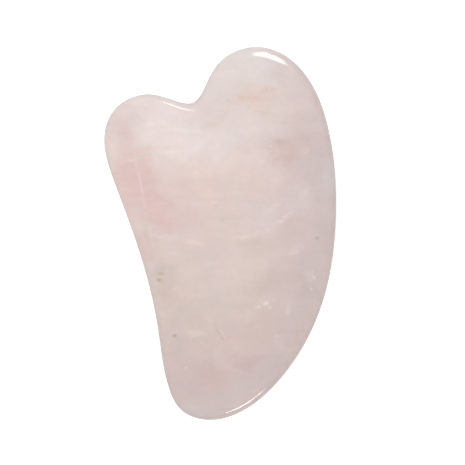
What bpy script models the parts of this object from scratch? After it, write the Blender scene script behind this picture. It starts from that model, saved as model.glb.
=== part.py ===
"""Gua sha scraper: one slab of rose quartz with a heart-shaped end, polished all over.

The stone lies on its underside. The origin is under the middle of its bounding box, +Y runs along its
length towards the two lobes, +X towards its long round side, and +Z up through its thickness.
"""

import math

import bmesh
import bpy
import numpy as np

MM = 0.001

# Driving dimensions, in millimetres.
WIDTH = 51.0
LENGTH = 82.0
THICKNESS = 6.0

# The rim rolls over from each flat face to the edge like a bullnose. Its width is measured inwards from
# the edge. It is widest on the shoulder of the large lobe, where the stone thins out most.
RIM_WIDTH = 3.0
SHOULDER_RIM_WIDTH = 4.8
SHOULDER = (13.0, 38.0)
SHOULDER_REACH = 14.0
RIM_FULLNESS = 2.6

# How finely the solid is divided: points around the outline, and bands from each flat face to the edge.
AROUND = 144
RIM_BANDS = 7

# Steps along the outline's curve from one of its given points to the next, before it is divided evenly.
CURVE_STEPS = 60

# Edges that fold by more than this many degrees are shaded as edges, the others as one smooth surface.
SHARP_FOLD = 40.0

# The closed outline, clockwise from above: a smooth curve passes through each of these points.
OUTLINE = [
    (-6.4, 28.6),  # foot of the notch between the lobes
    (-2.2, 34.6),  # straight flank of the large lobe
    (1.8, 39.2),
    (8.2, 41.0),  # crown of the large lobe
    (14.6, 38.9),
    (19.6, 33.7),
    (23.9, 22.6),
    (25.5, 4.0),  # widest point of the long round side
    (22.3, -15.8),
    (12.1, -33.2),
    (3.5, -39.7),
    (-2.6, -41.0),  # foot of the tip
    (-8.6, -38.8),
    (-11.4, -33.6),
    (-13.7, -20.9),
    (-18.2, -2.7),  # waist of the hollow side
    (-23.4, 11.6),
    (-25.5, 20.9),  # outer side of the small lobe
    (-23.6, 26.8),
    (-16.0, 30.6),  # crown of the small lobe
    (-10.0, 29.2),
]

POLISHED_PINK = (0.70, 0.58, 0.55, 1.0)
POLISH_ROUGHNESS = 0.12


def clear_scene():
    for obj in list(bpy.data.objects):
        bpy.data.objects.remove(obj, do_unlink=True)


def spline_slopes(points, spans):
    """The curve's slope at each point, such that its curvature runs on unbroken through all of them."""
    count = len(points)
    system = np.zeros((count, count))
    target = np.zeros((count, 2))
    for i in range(count):
        before, after = spans[i - 1], spans[i]
        following = (i + 1) % count
        system[i, i - 1] += 1.0 / before
        system[i, i] += 2.0 / before + 2.0 / after
        system[i, following] += 1.0 / after
        step_in = (points[i] - points[i - 1]) / before**2
        step_out = (points[following] - points[i]) / after**2
        target[i] = 3.0 * (step_in + step_out)
    return np.linalg.solve(system, target)


def closed_curve(points):
    """Many points along the closed cubic spline through the given ones."""
    points = np.array(points)
    following = np.roll(points, -1, axis=0)
    spans = np.linalg.norm(following - points, axis=1)
    slopes = spline_slopes(points, spans)
    curve = []
    for i, span in enumerate(spans):
        for t in np.arange(CURVE_STEPS) / CURVE_STEPS:
            curve.append(
                (2 * t**3 - 3 * t**2 + 1) * points[i]
                + (t**3 - 2 * t**2 + t) * span * slopes[i]
                + (3 * t**2 - 2 * t**3) * following[i]
                + (t**3 - t**2) * span * slopes[(i + 1) % len(points)]
            )
    return np.array(curve)


def evenly_spaced(curve, count):
    """The same closed curve in equal steps."""
    closed = np.vstack([curve, curve[:1]])
    travelled = np.concatenate([[0.0], np.cumsum(np.linalg.norm(np.diff(closed, axis=0), axis=1))])
    stops = np.linspace(0.0, travelled[-1], count, endpoint=False)
    return np.column_stack([np.interp(stops, travelled, closed[:, axis]) for axis in range(2)])


def fitted(outline):
    """The outline centred on the origin and brought to the stone's exact width and length."""
    low, high = outline.min(axis=0), outline.max(axis=0)
    return (outline - (low + high) / 2) * np.array([WIDTH, LENGTH]) / (high - low)


def inward_normals(outline):
    """Unit vectors into the stone at each point of a clockwise outline."""
    along = np.roll(outline, -1, axis=0) - np.roll(outline, 1, axis=0)
    along /= np.linalg.norm(along, axis=1, keepdims=True)
    return np.column_stack([along[:, 1], -along[:, 0]])


def rim_widths(outline):
    """How wide the rim is at each point: even, with a gentle swell over the large lobe's shoulder."""
    distance = np.linalg.norm(outline - np.array(SHOULDER), axis=1)
    swell = np.exp(-((distance / SHOULDER_REACH) ** 2))
    return RIM_WIDTH + (SHOULDER_RIM_WIDTH - RIM_WIDTH) * swell


def rim_profile():
    """Steps from the lower flat face round to the upper: (share of the rim's width, height)."""
    half = THICKNESS / 2
    upper = []
    for band in range(RIM_BANDS + 1):
        outward = max(0.0, math.cos(math.pi / 2 * band / RIM_BANDS))
        upper.append((1.0 - outward, half * math.sqrt(1.0 - outward**RIM_FULLNESS)))
    lower = [(inward, -height) for inward, height in reversed(upper[1:])]
    return [(inward, half + height) for inward, height in lower + upper]


def stone_mesh():
    outline = fitted(evenly_spaced(closed_curve(OUTLINE), AROUND))
    inwards = inward_normals(outline) * rim_widths(outline)[:, None]
    bm = bmesh.new()
    rings = []
    for inward, height in rim_profile():
        ring = outline + inwards * inward
        rings.append([bm.verts.new((x * MM, y * MM, height * MM)) for x, y in ring])
    for lower, upper in zip(rings, rings[1:]):
        for i in range(AROUND):
            j = (i + 1) % AROUND
            bm.faces.new((lower[i], lower[j], upper[j], upper[i]))
    bm.faces.new(rings[0])
    bm.faces.new(rings[-1])
    bmesh.ops.recalc_face_normals(bm, faces=bm.faces)
    mesh = bpy.data.meshes.new("scraper_stone")
    bm.to_mesh(mesh)
    bm.free()
    mesh.shade_smooth()
    mesh.set_sharp_from_angle(angle=math.radians(SHARP_FOLD))
    return mesh


def rose_quartz():
    material = bpy.data.materials.new("rose_quartz")
    material.use_nodes = True
    surface = material.node_tree.nodes["Principled BSDF"]
    surface.inputs["Base Color"].default_value = POLISHED_PINK
    surface.inputs["Roughness"].default_value = POLISH_ROUGHNESS
    surface.inputs["Metallic"].default_value = 0.0
    return material


def make_stone():
    mesh = stone_mesh()
    mesh.materials.append(rose_quartz())
    stone = bpy.data.objects.new("scraper_stone", mesh)
    bpy.context.scene.collection.objects.link(stone)


clear_scene()
make_stone()
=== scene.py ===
"""How the gua sha scraper looks: a polished slab of rose quartz, lying on a plain white floor.

Every object is in metres, in the CAD model's frame. The constants are in millimetres, in the same frame,
because the stone is palm-sized, and MM turns them into metres where they are used.
"""

import math

import bpy
import numpy as np
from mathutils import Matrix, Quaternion, Vector, noise


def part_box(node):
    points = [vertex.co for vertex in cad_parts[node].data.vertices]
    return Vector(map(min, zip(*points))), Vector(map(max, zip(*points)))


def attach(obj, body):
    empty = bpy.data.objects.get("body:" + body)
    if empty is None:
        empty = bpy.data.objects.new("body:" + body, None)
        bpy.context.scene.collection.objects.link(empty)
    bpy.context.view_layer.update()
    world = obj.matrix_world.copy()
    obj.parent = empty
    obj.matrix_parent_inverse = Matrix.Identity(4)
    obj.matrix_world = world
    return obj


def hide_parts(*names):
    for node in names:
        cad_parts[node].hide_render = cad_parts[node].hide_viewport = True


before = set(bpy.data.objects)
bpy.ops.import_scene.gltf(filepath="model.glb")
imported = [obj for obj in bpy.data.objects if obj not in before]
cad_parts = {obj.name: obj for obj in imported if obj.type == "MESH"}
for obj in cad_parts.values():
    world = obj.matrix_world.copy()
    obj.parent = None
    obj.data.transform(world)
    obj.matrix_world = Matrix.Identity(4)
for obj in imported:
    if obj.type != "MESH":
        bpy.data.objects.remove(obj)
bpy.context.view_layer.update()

MM = 0.001
NODE = "scraper_stone"

# The fine mesh: points around the stone, bands of quads on each half of the rim and across each face
# from the rim to its core, and the core's quads along each of its four sides.
AROUND = 480
RIM_BANDS = 26
FACE_BANDS = 34
CORE_SIDE = AROUND // 4
CORE_SHARE = 0.42
CORE_WAVES = 3
RIM_FULLNESS = 2.6

# How closely the CAD outline is followed: steps between two of its corners and along the brink of the face,
# and the waves of the rim's width that are kept.
CURVE_STEPS = 60
BRINK_STEPS = 3000
RIM_WAVES = 30

# Corners of the CAD stone within this of a height belong to the ring there, and corners that are the same to
# this many decimals are one corner.
RING_TOLERANCE = 0.0005
RING_DECIMALS = 4

# Hand polishing leaves each face very slightly uneven, in a pattern of its own.
POLISH_DEPTH = 0.03
POLISH_SPACING = 14.0
POLISH_PATTERN = 40.0

# A point that sees the whole outline: the face narrows towards it.
HEART = 1.5 + 8.0j

STONE_LOW, STONE_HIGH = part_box(NODE)
UNDERSIDE, UPPER_FACE = STONE_LOW.z / MM, STONE_HIGH.z / MM
THICKNESS = UPPER_FACE - UNDERSIDE


# ---------------------------------------------------------------------------------------------------------
# The stone's mesh
# ---------------------------------------------------------------------------------------------------------


def ring_at(height):
    """The CAD stone's corners at one height in order around it, as complex numbers x + iy."""
    corners = np.array([corner.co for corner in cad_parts[NODE].data.vertices]) / MM
    ring = corners[np.abs(corners[:, 2] - height) < RING_TOLERANCE]
    ring = np.unique(np.round(ring[:, 0] + 1j * ring[:, 1], RING_DECIMALS))
    return ring[np.argsort(np.angle(ring - HEART))]


def evenly_spaced(curve, count):
    """A closed run of points read again in equal steps along it."""
    closed = np.append(curve, curve[0])
    travelled = np.append(0.0, np.cumsum(np.abs(np.diff(closed))))
    stops = np.linspace(0.0, travelled[-1], count, endpoint=False)
    return np.interp(stops, travelled, closed)


def smooth_curve(corners, count):
    """count even steps along the closed cubic spline through corners, which has no break in its bend."""
    following = np.roll(corners, -1)
    spans = np.abs(following - corners)
    before = np.roll(spans, 1)
    step = np.arange(len(corners))
    system = np.diag(2.0 / before + 2.0 / spans)
    system[step, step - 1] += 1.0 / before
    system[step - 1, step] += 1.0 / before
    pull = (following - corners) / spans**2
    slopes = np.linalg.solve(system, 3.0 * (pull + np.roll(pull, 1)))
    t = np.linspace(0.0, 1.0, CURVE_STEPS, endpoint=False)[None, :]
    span, start, end = spans[:, None], corners[:, None], following[:, None]
    leaving, arriving = slopes[:, None], np.roll(slopes, -1)[:, None]
    curve = (2 * t**3 - 3 * t**2 + 1) * start + (3 * t**2 - 2 * t**3) * end
    curve = curve + span * ((t**3 - 2 * t**2 + t) * leaving + (t**3 - t**2) * arriving)
    return evenly_spaced(curve.ravel(), count)


def longest_waves(values, waves):
    """A closed run of numbers with only its longest waves left, which rounds it off."""
    spectrum = np.fft.fft(values)
    spectrum[waves + 1 : len(values) - waves] = 0.0
    return np.fft.ifft(spectrum)


def rim_and_face_rings():
    """Rings from the stone's edge in to the core of its upper face: pairs of complex points and a height."""
    outline = smooth_curve(ring_at((UNDERSIDE + UPPER_FACE) / 2), AROUND)
    brink = evenly_spaced(ring_at(UPPER_FACE), BRINK_STEPS)
    gaps = np.abs(outline[:, None] - brink[None, :]).min(axis=1)
    width = longest_waves(gaps, RIM_WAVES).real
    along = np.roll(outline, -1) - np.roll(outline, 1)
    inwards = 1j * along / np.abs(along) * width
    half = THICKNESS / 2
    rings = []
    for band in range(RIM_BANDS + 1):
        outward = max(0.0, math.cos(math.pi / 2 * band / RIM_BANDS))
        rise = half * math.sqrt(1.0 - outward**RIM_FULLNESS)
        rings.append((outline + inwards * (1.0 - outward), half + rise))
    inner = rings[-1][0]
    core = HEART + (longest_waves(inner, CORE_WAVES) - HEART) * CORE_SHARE
    for band in range(1, FACE_BANDS + 1):
        share = band / FACE_BANDS
        rings.append((inner + (core - inner) * share, THICKNESS))
    return rings


def four_sides(ring):
    """A closed ring's south, east, north and west sides, in the order of a grid's rows and columns."""
    closed = np.append(ring, ring[0])
    side = CORE_SIDE
    south, east = closed[: side + 1], closed[side : 2 * side + 1]
    north, west = closed[2 * side : 3 * side + 1][::-1], closed[3 * side :][::-1]
    return south, east, north, west


def core_grid(core):
    """A square grid of points whose four sides are the closed core ring."""
    south, east, north, west = four_sides(core)
    share = np.linspace(0.0, 1.0, CORE_SIDE + 1)
    across, up = share[None, :], share[:, None]
    between_sides = (1 - up) * south[None, :] + up * north[None, :]
    between_ends = (1 - across) * west[:, None] + across * east[:, None]
    southern = (1 - across) * south[0] + across * south[-1]
    northern = (1 - across) * north[0] + across * north[-1]
    return between_sides + between_ends - (1 - up) * southern - up * northern


def core_indices(core_start, inside_start):
    """The corner numbers of the core's grid: round it from core_start, and inside it from inside_start."""
    side = CORE_SIDE
    index = np.zeros((side + 1, side + 1), int)
    sides = four_sides(core_start + np.arange(AROUND))
    index[0, :], index[:, -1], index[-1, :], index[:, 0] = sides
    index[1:-1, 1:-1] = inside_start + np.arange((side - 1) ** 2).reshape(side - 1, side - 1)
    return index


def upper_half():
    """Corners and quads of the stone above its middle plane. The first AROUND corners are the edge."""
    rings = rim_and_face_rings()
    corners = [np.column_stack([ring.real, ring.imag, np.full(AROUND, z)]) for ring, z in rings]
    quads = []
    step = np.arange(AROUND)
    following = np.roll(step, -1)
    for band in range(len(rings) - 1):
        outer, inner = band * AROUND, (band + 1) * AROUND
        quads.append(np.column_stack([outer + step, outer + following, inner + following, inner + step]))
    inside = core_grid(rings[-1][0])[1:-1, 1:-1].ravel()
    corners.append(np.column_stack([inside.real, inside.imag, np.full(inside.size, THICKNESS)]))
    index = core_indices((len(rings) - 1) * AROUND, len(rings) * AROUND)
    grid_corners = (index[:-1, :-1], index[:-1, 1:], index[1:, 1:], index[1:, :-1])
    quads.append(np.column_stack([corner.ravel() for corner in grid_corners]))
    return np.vstack(corners), np.vstack(quads)


def polish_waves(corners):
    """Lowers each face by a slow random wave, which fades out towards the edge."""
    for corner in corners:
        face = 1.0 if corner[2] > THICKNESS / 2 else -1.0
        nearness = abs(2 * corner[2] / THICKNESS - 1.0)
        wave = noise.noise(Vector((corner[0], corner[1], POLISH_PATTERN * face)) / POLISH_SPACING)
        corner[2] -= face * nearness * POLISH_DEPTH * (1.0 + wave) / 2


def make_stone():
    upper, upper_quads = upper_half()
    lower = upper[AROUND:] * np.array([1, 1, -1]) + np.array([0, 0, THICKNESS])
    lower_quads = np.where(upper_quads < AROUND, upper_quads, upper_quads + len(lower))[:, ::-1]
    corners = np.vstack([upper, lower])
    polish_waves(corners)
    corners[:, 2] += UNDERSIDE
    mesh = bpy.data.meshes.new("polished_stone")
    mesh.from_pydata((corners * MM).tolist(), [], np.vstack([upper_quads, lower_quads]).tolist())
    mesh.shade_smooth()
    stone = bpy.data.objects.new("polished_stone", mesh)
    bpy.context.scene.collection.objects.link(stone)
    return stone


# ---------------------------------------------------------------------------------------------------------
# Materials
# ---------------------------------------------------------------------------------------------------------


def paint(red, green, blue):
    """A colour from its everyday 0 to 255 values, as the linear numbers that shaders take."""
    shares = [value / 255 for value in (red, green, blue)]
    return (*[s / 12.92 if s <= 0.04045 else ((s + 0.055) / 1.055) ** 2.4 for s in shares], 1.0)


class Tree:
    """A material's or world's nodes, added and wired one call at a time."""

    def __init__(self, owner):
        owner.use_nodes = True
        self.nodes = owner.node_tree.nodes
        self.links = owner.node_tree.links

    def add(self, kind, sockets=None, **settings):
        """A new node. sockets gives its inputs, by name or number: a value, or an output to link."""
        node = self.nodes.new(kind)
        for name, value in settings.items():
            setattr(node, name, value)
        for socket, value in (sockets or {}).items():
            self.feed(node.inputs[socket], value)
        return node

    def feed(self, socket, value):
        if isinstance(value, bpy.types.NodeSocket):
            self.links.new(value, socket)
        else:
            socket.default_value = value

    def math(self, operation, *values):
        return self.add("ShaderNodeMath", dict(enumerate(values)), operation=operation).outputs[0]

    def vector(self, operation, *values):
        return self.add("ShaderNodeVectorMath", dict(enumerate(values)), operation=operation).outputs[0]

    def mix(self, share, first, second):
        """A colour between two others."""
        node = self.add("ShaderNodeMix", {0: share, 6: first, 7: second}, data_type="RGBA")
        return node.outputs[2]

    def ramp(self, value, low, high, to_low=0.0, to_high=1.0, interpolation="SMOOTHSTEP"):
        """value eased from low..high to to_low..to_high, and held at both ends."""
        sockets = {"Value": value, "From Min": low, "From Max": high, "To Min": to_low, "To Max": to_high}
        return self.add("ShaderNodeMapRange", sockets, interpolation_type=interpolation).outputs[0]

    def noise(self, place, scale, detail, roughness):
        """A cloudy noise that stays around 0.5; its scale is in waves per millimetre."""
        sockets = {"Vector": place, "Scale": scale, "Detail": detail, "Roughness": roughness}
        return self.add("ShaderNodeTexNoise", sockets).outputs["Fac"]

    def spread(self, value, amount, middle):
        """A noise's value made wider by amount and moved to a new middle."""
        return self.math("MULTIPLY_ADD", value, amount, middle - amount / 2)

    def drift(self, place, scale, detail):
        """A random vector around zero that changes slowly from place to place."""
        node = self.add("ShaderNodeTexNoise", {"Vector": place, "Scale": scale, "Detail": detail})
        return self.vector("SUBTRACT", node.outputs["Color"], (0.5, 0.5, 0.5))

    def stretched(self, place, stretch, turn=0.0):
        """place measured in longer or shorter millimetres along each axis, turned about Z by degrees."""
        sockets = {"Vector": place, "Rotation": (0.0, 0.0, math.radians(turn)), "Scale": stretch}
        return self.add("ShaderNodeMapping", sockets, vector_type="TEXTURE").outputs[0]

    def blot(self, place, x, y, z, size, turn):
        """1 in the middle of an ellipsoid with size as its half sizes, falling evenly to 0 at its skin."""
        sockets = {
            "Vector": place,
            "Location": (x, y, z),
            "Rotation": (0.0, 0.0, math.radians(turn)),
            "Scale": size,
        }
        local = self.add("ShaderNodeMapping", sockets, vector_type="TEXTURE").outputs[0]
        return self.add("ShaderNodeTexGradient", {"Vector": local}, gradient_type="SPHERICAL").outputs[1]


# The quartz's ground colour along its length, darker towards the tip: partly its own zoning, partly painted
# shade. y, and the colour there.
GROUND_AND_SHADE = [
    (-38.0, (207, 192, 190)),
    (-30.0, (210, 191, 187)),
    (-16.0, (216, 200, 194)),
    (-2.0, (220, 203, 198)),
    (11.0, (224, 205, 200)),
    (20.0, (227, 213, 209)),
    (30.0, (224, 212, 208)),
    (39.0, (225, 216, 213)),
]

# The long round side is duller, partly in its own colour and partly painted shade: its colour and share, and
# where it begins and is reached along x.
FLANK_AND_SHADE = ((206, 190, 187), 0.9, 6.0, 23.0)

# How far below the upper face clouds and smaller marks reach.
CLOUD_DEPTH = 9.0
MARK_DEPTH = 2.5

# Clouds in the quartz: x, y, half length, half width, turn in degrees, strength and colour.
CLOUDS = [
    (-13.0, 26.0, 9.5, 5.5, 5.0, 0.7, (229, 217, 216)),  # milky small lobe
    (-9.0, 20.5, 13.0, 5.5, -4.0, 0.8, (231, 219, 216)),  # milky band from lobe to lobe
    (4.0, 20.5, 6.0, 3.6, 0.0, 0.5, (226, 217, 213)),  # its paler end
    (-21.3, 22.8, 6.5, 7.0, -15.0, 0.6, (219, 198, 194)),  # rosy outer side of the small lobe
    (-18.8, 11.5, 5.5, 11.0, 12.0, 0.8, (221, 195, 191)),  # pinkest part, along the healed crack
    (-15.0, 6.5, 5.5, 9.0, 10.0, 0.4, (221, 192, 188)),  # the same pink, fading into the stone
    (-11.5, 4.0, 9.0, 5.5, -15.0, 0.6, (222, 197, 193)),  # and down towards the waist
    (-4.0, 10.0, 8.0, 3.5, 0.0, 0.3, (224, 203, 197)),  # faint peach in the middle
    (8.5, 30.0, 8.5, 4.8, 8.0, 0.7, (223, 204, 195)),  # peach tint in the large lobe
    (13.0, 26.5, 7.0, 3.0, 8.0, 0.45, (223, 208, 201)),  # its lower edge
    (18.5, 30.0, 5.5, 5.5, 0.0, 0.5, (219, 203, 201)),  # mauve shoulder
    (20.3, 24.6, 5.0, 6.0, 0.0, 0.4, (221, 203, 200)),  # paler below it
    (15.6, 18.7, 7.5, 4.2, 22.0, 0.75, (209, 187, 182)),  # dusty rose below the shoulder
    (13.6, 15.6, 4.0, 3.2, 0.0, 0.6, (210, 189, 184)),  # its lower end
    (23.0, 12.0, 3.0, 6.5, 0.0, 0.8, (208, 199, 198)),  # cool grey along the round side
    (16.5, 7.0, 7.0, 5.0, 30.0, 0.65, (217, 205, 204)),  # lilac veil
    (8.5, 4.2, 6.5, 3.4, 22.0, 0.6, (221, 207, 206)),  # its lower left end
    (24.0, -1.0, 3.2, 6.0, 0.0, 0.55, (200, 183, 180)),  # duller round side
    (9.5, -2.8, 6.5, 2.6, 8.0, 0.55, (211, 196, 189)),  # beige under the veil
    (13.5, -9.8, 7.0, 4.4, 8.0, 0.65, (205, 187, 183)),  # mauve-brown zone
    (19.5, -12.0, 5.5, 6.5, 0.0, 0.5, (198, 182, 179)),  # and on to the round side
    (10.5, -18.5, 11.0, 12.0, 0.0, 0.45, (205, 187, 183)),  # duller half towards the tip
    (11.0, -31.0, 6.5, 5.0, -40.0, 0.4, (195, 181, 179)),  # greyer where the round side meets the tip
    (8.0, 19.2, 7.0, 4.5, 0.0, 0.45, (214, 197, 193)),  # duller under the large lobe
    (3.5, 9.0, 7.5, 8.0, 0.0, 0.35, (212, 199, 194)),  # duller middle
    (-16.0, -3.6, 4.0, 5.0, 0.0, 0.5, (212, 191, 184)),  # warmer hollow side
    (-11.0, -11.5, 5.5, 7.0, 10.0, 0.6, (205, 190, 184)),  # beige waist
    (-11.0, -23.0, 3.8, 7.5, 5.0, 0.55, (209, 192, 187)),  # and on down the hollow side
    (0.5, -8.5, 9.0, 5.0, 0.0, 0.4, (220, 205, 201)),  # lilac middle
    (-1.4, -31.0, 6.4, 4.6, -10.0, 0.75, (205, 184, 180)),  # rosy foot
    (6.6, -28.8, 4.6, 3.8, 20.0, 0.75, (201, 181, 178)),  # its right half
    (1.2, -27.5, 2.6, 4.0, 15.0, 0.4, (218, 201, 197)),  # paler between the two
    (5.4, -22.5, 3.4, 4.2, 10.0, 0.4, (211, 198, 195)),  # cooler patches towards the tip
    (6.0, -34.0, 4.0, 2.6, 30.0, 0.4, (205, 193, 192)),  # right of the foot
    (-4.6, -38.5, 6.0, 2.8, -5.0, 0.6, (207, 196, 194)),  # below the foot
    (11.8, -27.5, 3.4, 6.5, -35.0, 0.55, (202, 189, 187)),  # inside the lower round side
    (17.4, -21.5, 2.6, 6.5, -30.0, 0.6, (203, 184, 179)),  # brownish along the lower round side
]

# Smaller wisps and spots near the upper face, written the same way.
WISPS = [
    (-17.6, 12.0, 4.0, 5.5, 10.0, 0.3, (220, 189, 186)),  # deeper pink beside the crack
    (-13.6, 7.0, 5.5, 4.0, 0.0, 0.3, (220, 190, 187)),  # the same, towards the middle
    (-13.4, 2.6, 4.6, 2.0, -14.0, 0.5, (221, 192, 188)),  # the same, lower down
    (-20.2, 21.6, 1.6, 3.2, 10.0, 0.6, (222, 197, 193)),  # rosy smear above the crack
    (-16.2, 18.7, 3.6, 1.0, 3.0, 0.6, (226, 202, 194)),
    (-11.6, 17.6, 4.6, 0.7, 3.0, 0.6, (236, 223, 220)),  # white streaks in the small lobe
    (-9.2, 22.6, 5.6, 0.8, -2.0, 0.5, (236, 225, 223)),
    (-13.6, 24.2, 4.2, 0.9, 6.0, 0.5, (236, 226, 225)),
    (-5.4, 12.6, 0.9, 1.4, 0.0, 0.7, (233, 218, 211)),  # pale knots
    (-6.6, 15.4, 1.2, 1.0, 20.0, 0.5, (231, 216, 210)),
    (-2.4, 23.5, 3.0, 1.8, 12.0, 0.6, (219, 206, 195)),  # olive smear under the notch
    (0.8, 25.6, 2.6, 1.2, 40.0, 0.4, (219, 207, 197)),
    (10.6, 31.4, 2.6, 1.2, 5.0, 0.7, (218, 193, 182)),  # peach streaks in the large lobe
    (6.4, 29.8, 4.2, 1.3, -5.0, 0.7, (218, 194, 184)),
    (3.2, 28.9, 3.2, 1.1, -5.0, 0.5, (221, 201, 192)),
    (9.8, 26.4, 3.4, 0.7, -5.0, 0.6, (217, 198, 189)),
    (14.2, 24.3, 3.8, 0.7, 0.0, 0.6, (213, 194, 189)),  # mauve streak
    (20.9, 29.6, 1.0, 4.0, 18.0, 0.4, (205, 184, 179)),
    (13.0, 19.8, 3.6, 1.6, 15.0, 0.6, (204, 180, 175)),  # streaks of the dusty rose patch
    (19.0, 21.0, 2.6, 1.3, 20.0, 0.4, (204, 181, 176)),
    (14.8, 16.6, 2.4, 1.2, 0.0, 0.5, (205, 182, 178)),
    (18.6, 18.2, 1.6, 1.0, 20.0, 0.6, (221, 202, 199)),  # pale gap in it
    (-3.0, 6.5, 8.0, 0.6, 2.0, 0.5, (228, 211, 205)),  # long pale and beige streaks in the middle
    (3.5, 8.8, 6.5, 0.6, 4.0, 0.5, (226, 211, 206)),
    (1.5, 3.4, 6.0, 0.9, 6.0, 0.45, (212, 197, 190)),
    (14.2, 3.4, 3.4, 0.9, 35.0, 0.7, (227, 214, 212)),  # bright edge of the lilac veil
    (9.8, 0.6, 4.2, 0.9, 14.0, 0.65, (227, 213, 211)),
    (4.6, -0.9, 3.2, 0.7, 4.0, 0.7, (228, 212, 207)),
    (11.4, 5.6, 3.0, 1.0, 30.0, 0.5, (225, 211, 209)),
    (5.0, -2.2, 3.4, 0.9, 5.0, 0.5, (208, 196, 187)),
    (16.6, -3.7, 3.0, 1.3, 42.0, 0.6, (223, 209, 207)),  # pale patches by the round side
    (18.4, 8.6, 1.5, 3.0, -10.0, 0.5, (221, 207, 206)),
    (19.6, -9.5, 2.0, 3.0, 0.0, 0.5, (214, 203, 201)),
    (-12.4, -0.7, 4.8, 1.1, -8.0, 0.6, (230, 211, 207)),  # pale wisps across the waist
    (-5.9, -2.0, 3.4, 0.9, -10.0, 0.7, (231, 213, 207)),
    (-9.5, -4.4, 5.6, 0.8, -4.0, 0.5, (224, 209, 204)),
    (-2.0, -6.4, 5.8, 0.8, 4.0, 0.5, (224, 210, 205)),
    (-4.0, -13.6, 6.0, 0.9, 0.0, 0.4, (222, 207, 202)),
    (-5.4, -21.7, 3.0, 1.9, -30.0, 0.6, (224, 209, 205)),  # pale and pink patches above the foot
    (-2.6, -18.6, 2.6, 1.3, -50.0, 0.4, (224, 208, 203)),
    (1.3, -22.9, 1.5, 1.2, 0.0, 0.6, (213, 185, 180)),
    (5.8, -18.0, 3.0, 2.2, 30.0, 0.35, (222, 208, 204)),
    (9.4, -15.6, 3.4, 1.9, 10.0, 0.45, (222, 209, 204)),
    (12.6, -23.0, 1.3, 1.9, 0.0, 0.6, (221, 206, 202)),  # pale knots by the lower round side
    (14.8, -16.6, 1.0, 2.2, 0.0, 0.6, (219, 206, 203)),
    (3.0, -29.8, 3.4, 0.6, -24.0, 0.5, (218, 199, 196)),  # pale streak across the foot
]

# Hairlines: healed cracks and creases, written the same way.
HAIRLINES = [
    (-18.3, 14.0, 13.0, 0.42, -78.0, 0.65, (231, 208, 206)),  # the long healed crack
    (-15.1, -0.4, 4.5, 0.36, -80.0, 0.5, (229, 207, 204)),  # its lower end
    (-19.0, 15.9, 1.9, 0.36, 14.0, 0.7, (236, 218, 215)),  # short cracks beside it
    (-15.6, 21.5, 2.4, 0.4, 24.0, 0.5, (236, 225, 222)),
    (-16.0, 5.2, 1.8, 0.32, -20.0, 0.5, (233, 210, 207)),
    (-3.6, -24.4, 2.6, 0.4, -52.0, 0.5, (222, 206, 201)),  # pale lines above the foot
    (0.0, -22.3, 3.4, 0.34, -57.0, 0.5, (204, 185, 180)),  # crease
    (0.7, -22.1, 3.0, 0.34, -57.0, 0.6, (223, 206, 201)),
    (6.6, -11.4, 1.3, 0.36, -65.0, 0.6, (227, 213, 208)),  # scratches in the lower half
    (5.2, -9.6, 2.4, 0.3, 12.0, 0.4, (226, 212, 208)),
]

# Mineral specks and flecks, written the same way.
SPECKS = [
    (-12.95, -8.8, 1.2, 0.55, 4.0, 0.8, (200, 179, 152)),  # double olive speck
    (-13.35, -10.2, 1.0, 0.7, -12.0, 0.9, (198, 177, 150)),
    (-12.6, -10.6, 1.0, 0.5, 0.0, 0.6, (206, 186, 168)),
    (-10.0, -22.4, 0.75, 0.65, 20.0, 0.8, (192, 166, 146)),  # brown speck
    (21.2, -1.05, 0.7, 0.65, 0.0, 0.8, (187, 171, 168)),  # grey dot
    (9.9, -15.3, 0.95, 0.6, 20.0, 0.8, (233, 220, 213)),  # cluster of white flecks
    (8.5, -16.1, 0.7, 0.45, -25.0, 0.6, (232, 219, 213)),
    (8.9, -14.7, 0.4, 0.35, 0.0, 0.5, (230, 217, 212)),
    (10.9, -16.3, 0.5, 0.35, 40.0, 0.5, (230, 217, 211)),
    (11.7, -14.6, 0.35, 0.35, 0.0, 0.5, (229, 216, 211)),
    (19.9, -12.2, 0.5, 0.5, 0.0, 0.6, (222, 212, 210)),  # single pale flecks
    (20.6, -9.6, 0.45, 0.6, 0.0, 0.6, (222, 212, 210)),
    (-7.5, -29.4, 0.45, 0.45, 0.0, 0.6, (229, 214, 209)),
]

# The two drifts that bend marks out of shape: waves per millimetre and detail. Then how far each drift moves
# a kind of mark, along each axis.
DRIFTS = ((0.12, 3.0), (0.7, 2.0))
CLOUD_BEND = ((9.0, 6.0, 8.0), (3.0, 1.6, 2.0))
WISP_BEND = ((0.0, 0.0, 0.0), (2.0, 1.0, 1.0))
HAIRLINE_BEND = ((1.5, 1.5, 1.5), (0.0, 0.0, 0.0))

# Noises that fray the marks' edges: stretch along each axis, waves per millimetre, detail, roughness and
# amount.
CLOUD_FRAY = ((2.2, 1.0, 1.4), 0.45, 5.0, 0.65, 3.0)
WISP_FRAY = ((2.1, 1.0, 1.4), 0.9, 5.0, 0.72, 6.0)

# How far into a mark its tint begins and is reached, from 0 at its edge to 1 in its middle.
CLOUD_EDGE = (0.0, 0.8)
WISP_EDGE = (0.05, 0.9)
HAIRLINE_EDGE = (0.0, 0.9)
SPECK_EDGE = (0.0, 0.8)
DULL_EDGE = (0.0, 0.5)

# Noises over the whole stone: stretch along each axis and turn in degrees, waves per millimetre, detail,
# roughness, amount, and how much each colour channel follows.
VARIATIONS = [
    ((1.1, 1.0, 1.0), 0.0, 0.1, 8.0, 0.78, 0.26, (0.9, 1.0, 1.05)),  # milky haze
    ((1.05, 1.0, 1.0), 8.0, 0.13, 8.0, 0.76, 0.13, (1.0, -0.1, -0.9)),  # warmer and cooler
    ((6.0, 1.0, 2.0), 0.0, 0.55, 3.0, 0.6, 0.06, (0.9, 1.0, 1.0)),  # fine streaks
]

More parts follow.
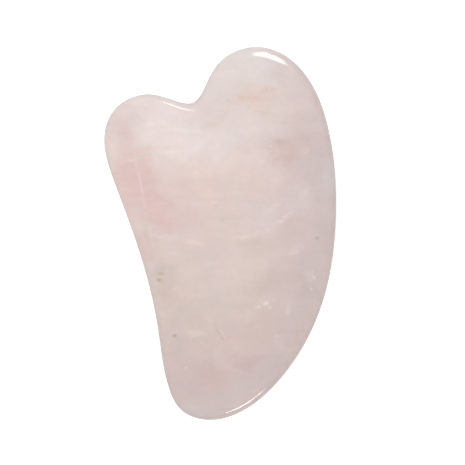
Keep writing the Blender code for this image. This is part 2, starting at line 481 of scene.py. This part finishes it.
# How rose quartz takes light: its refractive index, the share that sinks in, how far red, green and blue
# travel inside beside each other, and how far that is.
QUARTZ_IOR = 1.54
TRANSLUCENCY = 0.7
LIGHT_TRAVEL = (1.0, 0.8, 0.72)
LIGHT_REACH = 1.5

# The polish, and two duller spots, which end the glints beside them: x, y, half length, half width and
# turn in degrees.
POLISH_ROUGHNESS = 0.1
POLISH_SHEEN = 0.5
DULL_ROUGHNESS = 0.45
DULL_SHEEN = 0.06
DULL_HEIGHT = 5.0
DULL_DEPTH = 6.0
DULL_SPOTS = [
    (-16.8, 30.5, 8.5, 3.5, 0.0),  # crown of the small lobe
    (3.8, 39.8, 6.5, 3.5, 30.0),  # crown of the large lobe, left of its top
]


def ground_and_shade_colour(tree, place):
    """The stone's broad colour, partly its own and partly painted shade: along its length, and duller
    towards its long round side.
    """
    x, y, _ = tree.add("ShaderNodeSeparateXYZ", {0: place}).outputs
    first, last = GROUND_AND_SHADE[0][0], GROUND_AND_SHADE[-1][0]
    ramp = tree.add("ShaderNodeValToRGB", {0: tree.ramp(y, first, last, interpolation="LINEAR")})
    stops = ramp.color_ramp.elements
    stops.remove(stops[1])
    for y_here, colour in GROUND_AND_SHADE:
        along = (y_here - first) / (last - first)
        stop = stops[0] if along == 0.0 else stops.new(along)
        stop.color = paint(*colour)
    flank_and_shade, share, begins, reached = FLANK_AND_SHADE
    return tree.mix(tree.ramp(x, begins, reached, 0.0, share), ramp.outputs[0], paint(*flank_and_shade))


def marked(tree, place, colour, marks, depth, ragged, edge):
    """colour with marks laid over it, whose edges are uneven where ragged strays from 1."""
    for x, y, length, width, turn, strength, tint in marks:
        blot = tree.blot(place, x, y, UPPER_FACE, (length, width, depth), turn)
        mask = tree.ramp(tree.math("MULTIPLY", blot, ragged), *edge, 0.0, strength)
        colour = tree.mix(mask, colour, paint(*tint))
    return colour


def varied(tree, colour, variation, amount, tint):
    """colour made lighter and darker by a noise; tint is how much each channel follows it."""
    change = tree.vector("MULTIPLY_ADD", tint, tree.spread(variation, amount, 0.0), (1.0, 1.0, 1.0))
    return tree.vector("MULTIPLY", colour, change)


def bent(tree, place, drifts, bends):
    """place moved by each drift, as far along each axis as bends says."""
    for drift, bend in zip(drifts, bends):
        if any(bend):
            place = tree.vector("ADD", place, tree.vector("MULTIPLY", drift, bend))
    return place


def frayed(tree, place, stretch, scale, detail, roughness, amount):
    """A noise around 1 that shreds the edges of marks."""
    shreds = tree.noise(tree.stretched(place, stretch), scale, detail, roughness)
    return tree.spread(shreds, amount, 1.0)


def quartz_colour(tree, place):
    """The stone's colour: milky and rosy zones, wisps, hairlines, streaks and a few mineral specks."""
    drifts = [tree.drift(place, scale, detail) for scale, detail in DRIFTS]
    cloudy = bent(tree, place, drifts, CLOUD_BEND)
    wispy = bent(tree, place, drifts, WISP_BEND)
    cracked = bent(tree, place, drifts, HAIRLINE_BEND)
    frayed_wide = frayed(tree, place, *CLOUD_FRAY)
    frayed_fine = frayed(tree, place, *WISP_FRAY)

    # The broad colour holds painted shade: darker towards the tip and towards the long round side.
    colour = ground_and_shade_colour(tree, cloudy)
    colour = marked(tree, cloudy, colour, CLOUDS, CLOUD_DEPTH, frayed_wide, CLOUD_EDGE)
    colour = marked(tree, wispy, colour, WISPS, MARK_DEPTH, frayed_fine, WISP_EDGE)
    colour = marked(tree, cracked, colour, HAIRLINES, MARK_DEPTH, frayed_fine, HAIRLINE_EDGE)
    for stretch, turn, scale, detail, roughness, amount, tint in VARIATIONS:
        variation = tree.noise(tree.stretched(place, stretch, turn), scale, detail, roughness)
        colour = varied(tree, colour, variation, amount, tint)
    return marked(tree, place, colour, SPECKS, MARK_DEPTH, 1.0, SPECK_EDGE)


def quartz_dullness(tree, place):
    """0 where the polish is perfect, rising to 1 in the middle of each dull spot."""
    dullness = 0.0
    for x, y, length, width, turn in DULL_SPOTS:
        spot = tree.blot(place, x, y, DULL_HEIGHT, (length, width, DULL_DEPTH), turn)
        dullness = tree.math("MAXIMUM", dullness, tree.ramp(spot, *DULL_EDGE))
    return dullness


def rose_quartz():
    material = bpy.data.materials.new("rose_quartz")
    tree = Tree(material)
    place = tree.add("ShaderNodeTexCoord").outputs["Object"]
    place = tree.vector("MULTIPLY", place, (1 / MM, 1 / MM, 1 / MM))
    surface = tree.nodes["Principled BSDF"]
    tree.feed(surface.inputs["Base Color"], quartz_colour(tree, place))
    dullness = quartz_dullness(tree, place)
    tree.feed(surface.inputs["Roughness"], tree.ramp(dullness, 0.0, 1.0, POLISH_ROUGHNESS, DULL_ROUGHNESS))
    tree.feed(surface.inputs["Specular IOR Level"], tree.ramp(dullness, 0.0, 1.0, POLISH_SHEEN, DULL_SHEEN))
    surface.inputs["IOR"].default_value = QUARTZ_IOR
    surface.inputs["Subsurface Weight"].default_value = TRANSLUCENCY
    surface.inputs["Subsurface Radius"].default_value = LIGHT_TRAVEL
    surface.inputs["Subsurface Scale"].default_value = LIGHT_REACH * MM
    return material


# ---------------------------------------------------------------------------------------------------------
# Studio
# ---------------------------------------------------------------------------------------------------------

# The floor glows for the camera alone, which makes it plain white without lighting the stone.
FLOOR_HALF = 3000.0
FLOOR_GREY = (0.75, 0.75, 0.75, 1.0)
FLOOR_ROUGHNESS = 0.9
FLOOR_GLOW = 0.5

WHITE = (1.0, 1.0, 1.0, 1.0)
DOME_ZENITH = 0.96
DOME_HORIZON = 0.94

# Each light: name, the point it faces, its azimuth and elevation in degrees and its distance as seen from
# there, its width, height and roll, its brightness, and whether it is a soft one that only lights the
# stone, or a bright panel that only glints in its polish.
LIGHTS = [
    ("key_light", (0.0, 0.0, 6.0), (120.0, 65.0, 220.0), (160.0, 160.0, 0.0), 0.8, "soft"),
    ("back_glint", (10.0, 38.0, 5.0), (69.5, 34.0, 60.0), (44.0, 31.0, 48.0), 8.5, "glint"),
    ("notch_glint", (-9.0, 28.0, 5.0), (81.0, 28.0, 150.0), (130.0, 21.0, 53.0), 9.5, "glint"),
    ("front_glint", (6.0, -37.0, 5.0), (-62.0, 14.0, 120.0), (70.0, 25.0, -22.0), 13.0, "glint"),
]

# The camera looks straight down: its lens and sensor, how wide a piece it sees, and where it is centred.
CAMERA_LENS = 200.0
CAMERA_SENSOR = 36.0
CAMERA_NEAREST = 10.0
VIEW_WIDTH = 102.3
VIEW_CENTRE = (2.69, 0.2)


def floor_paint():
    material = bpy.data.materials.new("studio_floor")
    tree = Tree(material)
    surface = tree.nodes["Principled BSDF"]
    surface.inputs["Base Color"].default_value = FLOOR_GREY
    surface.inputs["Roughness"].default_value = FLOOR_ROUGHNESS
    surface.inputs["Specular IOR Level"].default_value = 0.0
    surface.inputs["Emission Color"].default_value = WHITE
    seen = tree.add("ShaderNodeLightPath").outputs["Is Camera Ray"]
    tree.feed(surface.inputs["Emission Strength"], tree.math("MULTIPLY", seen, FLOOR_GLOW))
    return material


def make_floor():
    half = FLOOR_HALF * MM
    corners = [(x * half, y * half, STONE_LOW.z) for x, y in ((-1, -1), (1, -1), (1, 1), (-1, 1))]
    mesh = bpy.data.meshes.new("studio_floor")
    mesh.from_pydata(corners, [], [(0, 1, 2, 3)])
    mesh.materials.append(floor_paint())
    floor = bpy.data.objects.new("studio_floor", mesh)
    bpy.context.scene.collection.objects.link(floor)


def make_light(name, target, seen_at, panel, brightness, role):
    azimuth, elevation, distance = seen_at
    width, height, roll = panel
    light = bpy.data.lights.new(name, "AREA")
    light.shape = "ELLIPSE"
    light.size = width * MM
    light.size_y = height * MM
    area = light.size * light.size_y * math.pi / 4
    light.energy = brightness * math.pi * area
    lamp = bpy.data.objects.new(name, light)
    level = math.cos(math.radians(elevation))
    bearing = math.radians(azimuth)
    away = Vector((level * math.cos(bearing), level * math.sin(bearing), math.sin(math.radians(elevation))))
    lamp.location = (Vector(target) + away * distance) * MM
    facing = away.to_track_quat("Z", "Y") @ Quaternion((0.0, 0.0, 1.0), math.radians(roll))
    lamp.rotation_euler = facing.to_euler()
    lamp.visible_camera = False
    lamp.visible_glossy = role == "glint"
    lamp.visible_diffuse = role == "soft"
    bpy.context.scene.collection.objects.link(lamp)


def make_dome():
    """Even white light from all round, a little dimmer at the horizon; the camera sees plain white."""
    world = bpy.data.worlds.new("studio_dome")
    bpy.context.scene.world = world
    tree = Tree(world)
    direction = tree.add("ShaderNodeTexCoord").outputs["Generated"]
    height = tree.add("ShaderNodeSeparateXYZ", {0: direction}).outputs[2]
    level = tree.ramp(height, 0.0, 1.0, DOME_HORIZON, DOME_ZENITH)
    seen = tree.add("ShaderNodeLightPath").outputs["Is Camera Ray"]
    strength = tree.math("MAXIMUM", level, seen)
    background = tree.nodes["Background"]
    background.inputs["Color"].default_value = WHITE
    tree.feed(background.inputs["Strength"], strength)


def make_camera():
    camera = bpy.data.cameras.new("studio_camera")
    camera.lens = CAMERA_LENS
    camera.sensor_width = CAMERA_SENSOR
    camera.clip_start = CAMERA_NEAREST * MM
    holder = bpy.data.objects.new("studio_camera", camera)
    distance = VIEW_WIDTH * CAMERA_LENS / CAMERA_SENSOR
    holder.location = Vector((*VIEW_CENTRE, THICKNESS / 2 + distance)) * MM
    bpy.context.scene.collection.objects.link(holder)
    bpy.context.scene.camera = holder


# ---------------------------------------------------------------------------------------------------------
# Everything together
# ---------------------------------------------------------------------------------------------------------

stone = make_stone()
stone.data.materials.append(rose_quartz())
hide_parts(NODE)
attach(stone, "root")

make_floor()
for settings in LIGHTS:
    make_light(*settings)
make_dome()
make_camera()
bpy.context.scene.view_settings.view_transform = "Standard"
